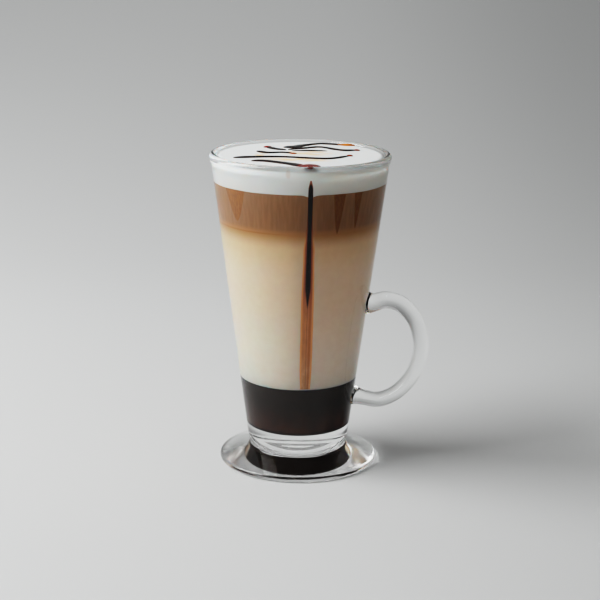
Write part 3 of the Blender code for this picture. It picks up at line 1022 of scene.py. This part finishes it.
def streak_material(settings):
    """Sauce against the glass: a nearly black core with brown and orange sides, and orange-brown below."""
    material, tree, shader = new_material("sauce_on_glass", MATT, NO_SHINE)
    core = read_attribute(tree, "streak_core")
    across = read_attribute(tree, "streak_across")
    place, parts = place_on_piece(tree)
    threads = cloudiness(tree, place, THREAD_SCALE, stretch=THREAD_STRETCH)
    threads = smooth_share(tree, threads, *THREAD_SHARE)
    colour = mix_colours(tree, threads, darker(settings.warm, THREAD_DARK), tuple(settings.warm))
    blots = smooth_share(tree, cloudiness(tree, place, BLOT_SCALE, stretch=BLOT_STRETCH), *BLOT_SHARE)
    pale = mix_colours(tree, blots, BLOT_BROWN, BLOT_PALE)
    colour = mix_colours(tree, smooth_share(tree, parts["Z"], *BLOT_RANGE), colour, pale)
    line = maths(tree, "ABSOLUTE", maths(tree, "SUBTRACT", across, STREAK_LINE_PLACE))
    line = times(tree, smooth_share(tree, line, *STREAK_LINE_HALF), STREAK_LINE_STRENGTH)
    colour = mix_colours(tree, line, colour, STREAK_LINE)
    upper = smooth_share(tree, parts["Z"], *STREAK_UPPER_RANGE)
    colour = mix_colours(tree, upper, colour, STREAK_UPPER)
    side = smooth_share(tree, maths(tree, "ABSOLUTE", across), *STREAK_SIDE_SHARE)
    in_milk = smooth_share(tree, parts["Z"], *STREAK_MILK_RANGE)
    side_colour = mix_colours(tree, in_milk, STREAK_SIDE_COFFEE, STREAK_SIDE_MILK)
    colour = mix_colours(tree, side, colour, side_colour)
    colour = mix_colours(tree, core, colour, tuple(settings.dark))
    tree.links.new(colour, shader.inputs["Base Color"])
    return material


# Floor: its sheen and faint mottle, and the painted shade of the light falling off backwards and to the
# right: from where to where, in metres, and what is left
FLOOR_ROUGHNESS = 0.75
FLOOR_SPECULAR = 0.2
FLOOR_MOTTLE_SCALE = 3.0
FLOOR_MOTTLE_DARK = 0.985
FLOOR_PAINTED_FALLOFF = (("Y", 0.1, 0.95, 0.87), ("X", 0.0, 0.32, 0.80))


def floor_material(settings):
    """Pale grey paper with a faint mottle, and painted shade that darkens it backwards and to the right,
    where the light falls off.
    """
    material, tree, shader = new_material("pale_floor", FLOOR_ROUGHNESS, FLOOR_SPECULAR)
    place, parts = place_on_piece(tree)
    mottle = cloudiness(tree, place, FLOOR_MOTTLE_SCALE)
    colour = mix_colours(tree, mottle, tuple(settings.floor), darker(settings.floor, FLOOR_MOTTLE_DARK))
    # Painted shade: the paper is darkened towards the back and the right, where the light falls off
    for axis, start, end, left in FLOOR_PAINTED_FALLOFF:
        share = smooth_share(tree, parts[axis], start, end)
        colour = mix_colours(tree, share, colour, (left, left, left), "MULTIPLY")
    tree.links.new(colour, shader.inputs["Base Color"])
    return material


# Pieces


def handle_piece():
    """The handle as an object of its own, whose roots reach into the body's wall."""
    shape = bmesh.new()
    loft_into(shape, handle_sections())
    bmesh.ops.recalc_face_normals(shape, faces=shape.faces)
    mesh = bpy.data.meshes.new("handle_shape")
    shape.to_mesh(mesh)
    shape.free()
    handle = bpy.data.objects.new("handle_shape", mesh)
    bpy.context.scene.collection.objects.link(handle)
    return handle


class MakeMug(bpy.types.Operator):
    """Makes the glass mug: foot, body, lip and handle in one piece of glass"""

    bl_idname = "mocha.make_mug"
    bl_label = "Glass mug"

    def execute(self, context):
        settings = context.scene.mocha_mug
        glass = glass_material(settings)
        shape = turned(glass_outline(settings.wall), settings.turns)
        mug = add_piece("glass_mug_clear", shape, glass, "clear_glass", "glass_mug")
        join_by_boolean(mug, handle_piece())
        mug.data.shade_smooth()
        mug.data.set_sharp_from_angle(angle=SHARP_ANGLE)
        return {"FINISHED"}


def layer_outline(low, high, drink, wall, steps=12):
    """A plain layer's half section, which reaches a little into the wall."""
    side = [low + (high - low) * step / steps for step in range(steps + 1)]
    edge = [(cavity_radius(height, wall) + drink.reach, height) for height in side]
    inner = edge[0][0] / 2
    return [(0.0, low), (inner, low), *edge, (inner, high), (0.0, high)]


def foam_line(angle):
    """How much higher the line between coffee and foam shows here: it wavers, and dips at the streak."""
    away = (angle - STREAK_TURN + math.pi) % (2.0 * math.pi) - math.pi
    waver = noise.noise(Vector((math.cos(angle), math.sin(angle), 0.0)) * LINE_WAVER_SCALE)
    dip = math.exp(-((away / LINE_DIP_TURN) ** 2))
    return LINE_RISE + LINE_WAVER * waver - LINE_DIP * dip


def shift_line(shape, height, radius):
    """Moves the ring where coffee and foam meet along the wall, to the line that shows in the glass."""
    for vertex in shape.verts:
        reach = vertex.co.to_2d().length
        if abs(vertex.co.z - height) < CLOSE and reach > LINE_RING_SHARE * radius:
            rise = foam_line(math.atan2(vertex.co.y, vertex.co.x))
            vertex.co += Vector((vertex.co.x, vertex.co.y, 0.0)) * (BODY_FLARE * rise / reach)
            vertex.co.z += rise


def syrup_outline(drink, wall):
    """The syrup's half section, with the cavity's rounded corner."""
    top = MILK_LOW.z
    edge = cavity_radius(top, wall) + drink.reach
    floor = CAVITY_FLOOR - drink.reach
    return [(0.0, top), (edge / 2, top), (edge, top), *cavity_corner(-drink.reach, wall), (0.0, floor)]


class MakeDrink(bpy.types.Operator):
    """Makes the syrup, the milk and the coffee"""

    bl_idname = "mocha.make_drink"
    bl_label = "Syrup, milk and coffee"

    def execute(self, context):
        drink = context.scene.mocha_drink
        mug = context.scene.mocha_mug
        syrup = turned(syrup_outline(drink, mug.wall), mug.turns)
        add_piece("syrup_layer", syrup, syrup_material(drink), "chocolate_syrup", "chocolate_syrup")
        milk = turned(layer_outline(MILK_LOW.z, COFFEE_LOW.z, drink, mug.wall), mug.turns)
        add_piece("milk_layer", milk, milk_material(drink), "milk", "milk")
        coffee = turned(layer_outline(COFFEE_LOW.z, FOAM_LOW.z, drink, mug.wall), 2 * mug.turns)
        shift_line(coffee, FOAM_LOW.z, cavity_radius(FOAM_LOW.z, mug.wall))
        add_piece("coffee_layer", coffee, coffee_material(drink), "coffee", "coffee")
        return {"FINISHED"}


def foam_outline(drink, wall):
    """The foam's half section: up the wall, over a rounded shoulder and inwards over the shallow dome."""
    shoulder_low = FOAM_EDGE - FOAM_SHOULDER
    edge = cavity_radius(shoulder_low, wall) + drink.reach
    outline = [(0.0, FOAM_LOW.z), (edge / 2, FOAM_LOW.z)]
    steps = 8
    for step in range(steps):
        height = FOAM_LOW.z + (shoulder_low - FOAM_LOW.z) * step / steps
        outline.append((cavity_radius(height, wall) + drink.reach, height))
    outline += arc((edge - FOAM_SHOULDER, shoulder_low), FOAM_SHOULDER, start=0.0, end=90.0, steps=10)
    top = edge - FOAM_SHOULDER
    rings = 60
    for ring in range(1, rings):
        radius = top * (1.0 - ring / rings)
        outline.append((radius, FOAM_EDGE + FOAM_DOME * (1.0 - (radius / top) ** 2)))
    outline.append((0.0, FOAM_EDGE + FOAM_DOME))
    return outline


class MakeFoam(bpy.types.Operator):
    """Makes the milk foam up to the lip"""

    bl_idname = "mocha.make_foam"
    bl_label = "Milk foam"

    def execute(self, context):
        drink = context.scene.mocha_drink
        mug = context.scene.mocha_mug
        shape = turned(foam_outline(drink, mug.wall), 2 * mug.turns)
        shift_line(shape, FOAM_LOW.z, cavity_radius(FOAM_LOW.z, mug.wall))
        for vertex in shape.verts:
            if vertex.co.z > FOAM_EDGE:
                vertex.co.z += FOAM_UNEVEN * noise.noise(vertex.co * FOAM_UNEVEN_SCALE)
        add_piece("foam_layer", shape, foam_material(drink), "milk_foam", "milk_foam")
        return {"FINISHED"}


def give_attribute(mesh, name, values):
    """Stores a number for each point of a mesh, for its material to read."""
    attribute = mesh.attributes.new(name, "FLOAT", "POINT")
    attribute.data.foreach_set("value", np.asarray(values, np.float32))


def sauce_shape(wall):
    """The strokes and the drops, which still cross each other."""
    shape = bmesh.new()
    for stroke in STROKES:
        loft_into(shape, stroke_sections(stroke, wall))
    for (x, y, sunk), halves, _ in DROPS:
        middle = Vector((x * MM, y * MM, 0.0))
        middle.z = foam_height(middle.length, wall) - sunk * MM
        place = Matrix.Translation(middle) @ Matrix.Diagonal((*(Vector(halves) * MM), 1.0))
        bmesh.ops.create_uvsphere(shape, u_segments=32, v_segments=18, radius=1.0, matrix=place)
    return shape


def melt_together(piece, material):
    """Remeshes a piece whose parts cross, so that they flow into one skin, and returns its mesh."""
    modifier = piece.modifiers.new("Melt together", "REMESH")
    modifier.mode = "VOXEL"
    modifier.voxel_size = SAUCE_VOXEL
    modifier.use_smooth_shade = True
    graph = bpy.context.evaluated_depsgraph_get()
    melted = bpy.data.meshes.new_from_object(piece.evaluated_get(graph), depsgraph=graph)
    piece.modifiers.clear()
    piece.data = melted
    melted.materials.clear()
    melted.materials.append(material)
    return melted


def mark_sauce(mesh, wall):
    """Tells the material how thick the sauce is, where a drop is and how orange it is."""
    points = np.array([vertex.co for vertex in mesh.vertices])
    level = foam_height(np.hypot(points[:, 0], points[:, 1]), wall)
    in_drop = np.zeros(len(points))
    warmth = np.zeros(len(points))
    for (x, y, _), (half_x, half_y, _), orange in DROPS:
        away = np.hypot((points[:, 0] / MM - x) / half_x, (points[:, 1] / MM - y) / half_y)
        share = np.clip((DROP_TINT_REACH - away) / DROP_TINT_FADE, 0.0, 1.0)
        warmth = np.where(share > in_drop, orange, warmth)
        in_drop = np.maximum(in_drop, share)
    give_attribute(mesh, "sauce_thickness", np.clip((points[:, 2] - level) / STROKE_RISE, 0.0, 1.0))
    give_attribute(mesh, "sauce_drop", in_drop)
    give_attribute(mesh, "sauce_warmth", warmth)


class MakeFoamSauce(bpy.types.Operator):
    """Makes the strokes and drops of sauce on the foam"""

    bl_idname = "mocha.make_foam_sauce"
    bl_label = "Sauce on the foam"

    def execute(self, context):
        wall = context.scene.mocha_mug.wall
        sauce = sauce_material(context.scene.mocha_sauce)
        piece = add_piece("foam_sauce", sauce_shape(wall), sauce, "chocolate_sauce", "milk_foam")
        mark_sauce(melt_together(piece, sauce), wall)
        return {"FINISHED"}


def streak_parts(wall, reach):
    """The streak's sections up the wall, and for each of their points its core share and place across."""
    across = Vector((-math.sin(STREAK_TURN), math.cos(STREAK_TURN), 0.0))
    outward = Vector((math.cos(STREAK_TURN), math.sin(STREAK_TURN), 0.0))
    sides = [-1.0 + 2.0 * side / STREAK_SIDES for side in range(STREAK_SIDES + 1)]
    back = sides[::-1][1:-1]
    sections, core, places = [], [], []
    low, high = STREAK_LOW.z - GAP, STREAK_HIGH.z
    for step in range(STREAK_STEPS + 1):
        height = low + (high - low) * step / STREAK_STEPS
        half = read_table(height / MM, STREAK_WIDTHS) * MM
        half *= 1.0 + STREAK_WAVER * noise.noise(upward(height * STREAK_WAVER_SCALE))
        radius = cavity_radius(height, wall) + reach + STREAK_REACH
        core_half = read_table(height / MM, STREAK_CORE) * MM
        section = []
        for side in sides:
            offset = half * side
            section.append(outward * math.sqrt(radius**2 - offset**2) + across * offset + upward(height))
            core.append(min(1.0, max(0.0, (core_half - abs(offset)) / STREAK_CORE_BLUR + 0.5)))
        for side in back:
            depth = STREAK_DEPTH * math.sqrt(1.0 - side**2)
            section.append(outward * (radius - depth) + across * (half * side) + upward(height))
            core.append(0.0)
        places += sides + back
        sections.append(section)
    return sections, core, places


class MakeStreak(bpy.types.Operator):
    """Makes the streak of sauce that ran down inside the wall"""

    bl_idname = "mocha.make_streak"
    bl_label = "Streak of sauce"

    def execute(self, context):
        reach = context.scene.mocha_drink.reach
        sections, core, places = streak_parts(context.scene.mocha_mug.wall, reach)
        shape = bmesh.new()
        loft_into(shape, sections)
        sauce = streak_material(context.scene.mocha_sauce)
        piece = add_piece("wall_streak", shape, sauce, "chocolate_sauce", "sauce_streak")
        give_attribute(piece.data, "streak_core", core)
        give_attribute(piece.data, "streak_across", places)
        return {"FINISHED"}


# Stage


def set_tone_curve(view):
    """A photograph's tone curve: darks are held down and lights roll off softly."""
    view.use_curve_mapping = True
    mapping = view.curve_mapping
    mapping.white_level = (TONE_WHITE, TONE_WHITE, TONE_WHITE)
    curve = mapping.curves[COMBINED_CURVE]
    steps = 24
    points = []
    for step in range(steps + 1):
        x = (step / steps) ** 2
        lifted = (x * TONE_WHITE / TONE_MIDDLE) ** TONE_POWER
        points.append((x, lifted / (1.0 + lifted)))
    curve.points[0].location = points[0]
    curve.points[1].location = points[-1]
    for point in points[1:-1]:
        curve.points.new(*point)
    mapping.update()


def soft_room(stage, bright_side):
    """Light from all round, which fades from the bright side to the dim one."""
    world = bpy.data.worlds.new("soft_room")
    world.use_nodes = True
    tree = world.node_tree
    way = add_node(tree, "ShaderNodeTexCoord").outputs["Generated"]
    towards = vector_maths(tree, "DOT_PRODUCT", way, bright_side)
    strength = add_node(tree, "ShaderNodeMapRange")
    tree.links.new(towards, strength.inputs["Value"])
    strength.inputs["From Min"].default_value = -1.0
    strength.inputs["To Min"].default_value = stage.dim
    strength.inputs["To Max"].default_value = stage.fill
    parts = add_node(tree, "ShaderNodeSeparateXYZ")
    tree.links.new(way, parts.inputs[0])
    above = smooth_share(tree, parts.outputs["Z"], *HORIZON_RANGE)
    above = maths(tree, "MULTIPLY_ADD", above, 1.0 - HORIZON_SHARE, HORIZON_SHARE)
    dimmed = maths(tree, "MULTIPLY", strength.outputs["Result"], above)
    tree.links.new(dimmed, tree.nodes["Background"].inputs["Strength"])
    tree.nodes["Background"].inputs["Color"].default_value = (1.0, 1.0, 1.0, 1.0)
    return world


def floor_sweep(stage):
    """Paper under the mug that runs level to the back and then curves up, turned to face the camera."""
    curve = arc((SWEEP_START, SWEEP_ROUND), SWEEP_ROUND, start=-90.0, end=SWEEP_TURN - 90.0, steps=24)
    outline = [(-SWEEP_FRONT, 0.0), *curve]
    shape = bmesh.new()
    left = [shape.verts.new((-SWEEP_HALF, y, z)) for y, z in outline]
    right = [shape.verts.new((SWEEP_HALF, y, z)) for y, z in outline]
    for index in range(len(outline) - 1):
        shape.faces.new((left[index], right[index], right[index + 1], left[index + 1]))
    mesh = bpy.data.meshes.new("floor_sweep")
    shape.to_mesh(mesh)
    shape.free()
    mesh.shade_smooth()
    mesh.materials.append(floor_material(stage))
    floor = bpy.data.objects.new("floor_sweep", mesh)
    floor.location.z = -SWEEP_DROP
    floor.rotation_euler.z = stage.turn
    return floor


def key_lamp(stage, towards):
    """The square soft light, which stands on one side of the mug's middle and faces it."""
    key = bpy.data.lights.new("key_light", "AREA")
    key.shape = "RECTANGLE"
    key.size = KEY_WIDTH * stage.key_distance
    key.size_y = key.size
    key.energy = stage.key
    lamp = bpy.data.objects.new("key_light", key)
    lamp.location = upward(MUG_HIGH.z / 2) + towards * stage.key_distance
    lamp.rotation_mode = "QUATERNION"
    lamp.rotation_quaternion = towards.to_track_quat("Z", "Y")
    lamp.visible_camera = False
    return lamp


def mocha_camera(stage):
    """The camera in front of the mug, which looks down on it a little."""
    camera = bpy.data.objects.new("camera", bpy.data.cameras.new("camera"))
    camera.data.lens = stage.lens
    camera.data.sensor_width = stage.sensor
    camera.data.clip_start = CAMERA_NEAREST
    camera.data.clip_end = CAMERA_FURTHEST
    stand = Matrix.Translation((CAMERA_ASIDE, -stage.distance, stage.height))
    pitch = Matrix.Rotation(math.radians(90.0) - stage.pitch, 4, "X")
    roll = Matrix.Rotation(stage.roll, 4, "Z")
    camera.matrix_world = Matrix.Rotation(stage.turn, 4, "Z") @ stand @ pitch @ roll
    return camera


class MakeStage(bpy.types.Operator):
    """Makes the floor, the lights and the camera"""

    bl_idname = "mocha.make_stage"
    bl_label = "Floor, light and camera"

    def execute(self, context):
        stage = context.scene.mocha_stage
        scene = context.scene
        floor = floor_sweep(stage)
        side = KEY_SIDE - stage.turn
        towards = Vector((
            -math.cos(KEY_RISE) * math.sin(side),
            -math.cos(KEY_RISE) * math.cos(side),
            math.sin(KEY_RISE),
        ))
        scene.world = soft_room(stage, Vector((towards.x, towards.y, 0.0)).normalized())
        scene.camera = mocha_camera(stage)
        for thing in (floor, key_lamp(stage, towards), scene.camera):
            scene.collection.objects.link(thing)
        scene.view_settings.view_transform = "Standard"
        set_tone_curve(scene.view_settings)
        scene.cycles.max_bounces = 32
        scene.cycles.glossy_bounces = 16
        scene.cycles.transmission_bounces = 24
        scene.cycles.blur_glossy = 0.1
        return {"FINISHED"}


class MochaPanel(bpy.types.Panel):
    """Lists the pieces and the sizes and colours they are made with"""

    bl_idname = "VIEW3D_PT_mocha"
    bl_label = "Caffe mocha"
    bl_space_type = "VIEW_3D"
    bl_region_type = "UI"
    bl_category = "Caffe mocha"

    def draw(self, context):
        layout = self.layout
        for operator in OPERATORS:
            layout.operator(operator.bl_idname)
        for name in SETTINGS:
            box = layout.box()
            group = getattr(context.scene, name)
            for setting in group.bl_rna.properties:
                if setting.identifier not in {"rna_type", "name"}:
                    box.prop(group, setting.identifier)


OPERATORS = (MakeMug, MakeDrink, MakeFoam, MakeFoamSauce, MakeStreak, MakeStage)
SETTINGS = {
    "mocha_mug": MugSettings,
    "mocha_drink": DrinkSettings,
    "mocha_sauce": SauceSettings,
    "mocha_stage": StageSettings,
}


def register():
    for group in (*SETTINGS.values(), *OPERATORS, MochaPanel):
        bpy.utils.register_class(group)
    for name, group in SETTINGS.items():
        setattr(bpy.types.Scene, name, PointerProperty(type=group))


def unregister():
    for name in SETTINGS:
        delattr(bpy.types.Scene, name)
    for group in reversed((*SETTINGS.values(), *OPERATORS, MochaPanel)):
        bpy.utils.unregister_class(group)


def main():
    register()
    bpy.ops.mocha.make_mug()
    bpy.ops.mocha.make_drink()
    bpy.ops.mocha.make_foam()
    bpy.ops.mocha.make_foam_sauce()
    bpy.ops.mocha.make_streak()
    bpy.ops.mocha.make_stage()


if __name__ == "__main__":
    main()
